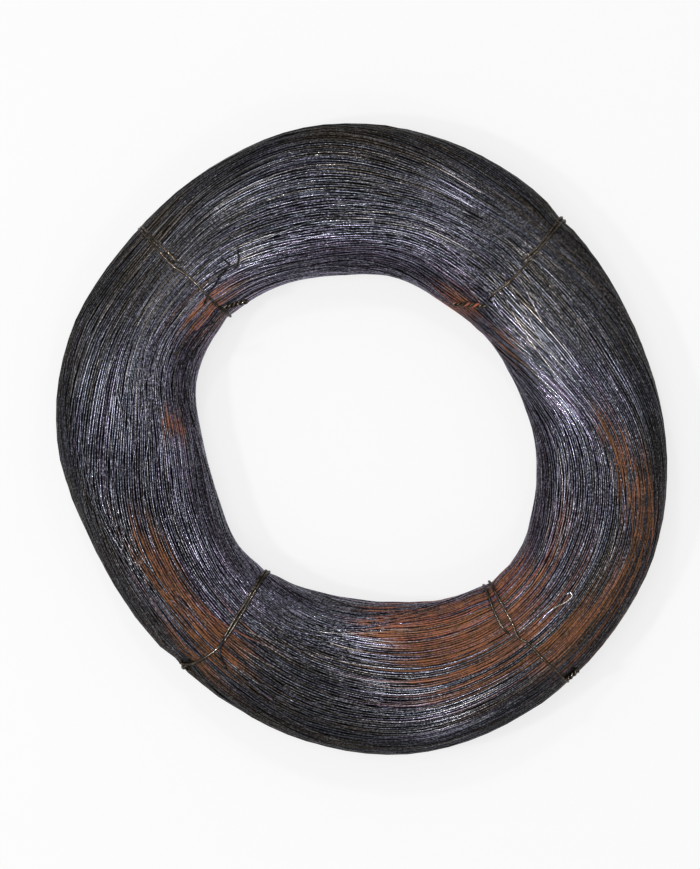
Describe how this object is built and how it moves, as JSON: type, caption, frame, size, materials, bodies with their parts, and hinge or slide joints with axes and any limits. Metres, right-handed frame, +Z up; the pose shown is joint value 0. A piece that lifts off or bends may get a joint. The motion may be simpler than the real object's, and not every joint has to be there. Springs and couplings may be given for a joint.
{
  "type": "coil of annealed wire",
  "caption": "Coil of dark annealed steel wire lying flat, with a round bore, rounded shoulders and doubled, twisted wire ties that hold the turns together.",
  "frame": {"origin": "on the floor, under the centre of the bore", "axes": "+Z up along the bore's axis, +X to the right and +Y to the top of the picture, which looks down on the coil"},
  "size_m": [0.4549, 0.455, 0.0645],
  "materials": {
    "coil_wire": "dark annealing oxide on drawn wire, with patches of rust",
    "tie_wire": "dark drawn wire, lightly rusted"
  },
  "bodies": {
    "root": {"wire_coil": "coil_wire", "tie_wire_back_right": "tie_wire", "tie_wire_back_left": "tie_wire", "tie_wire_front_left": "tie_wire", "tie_wire_front_right": "tie_wire"}
  },
  "joints": []
}
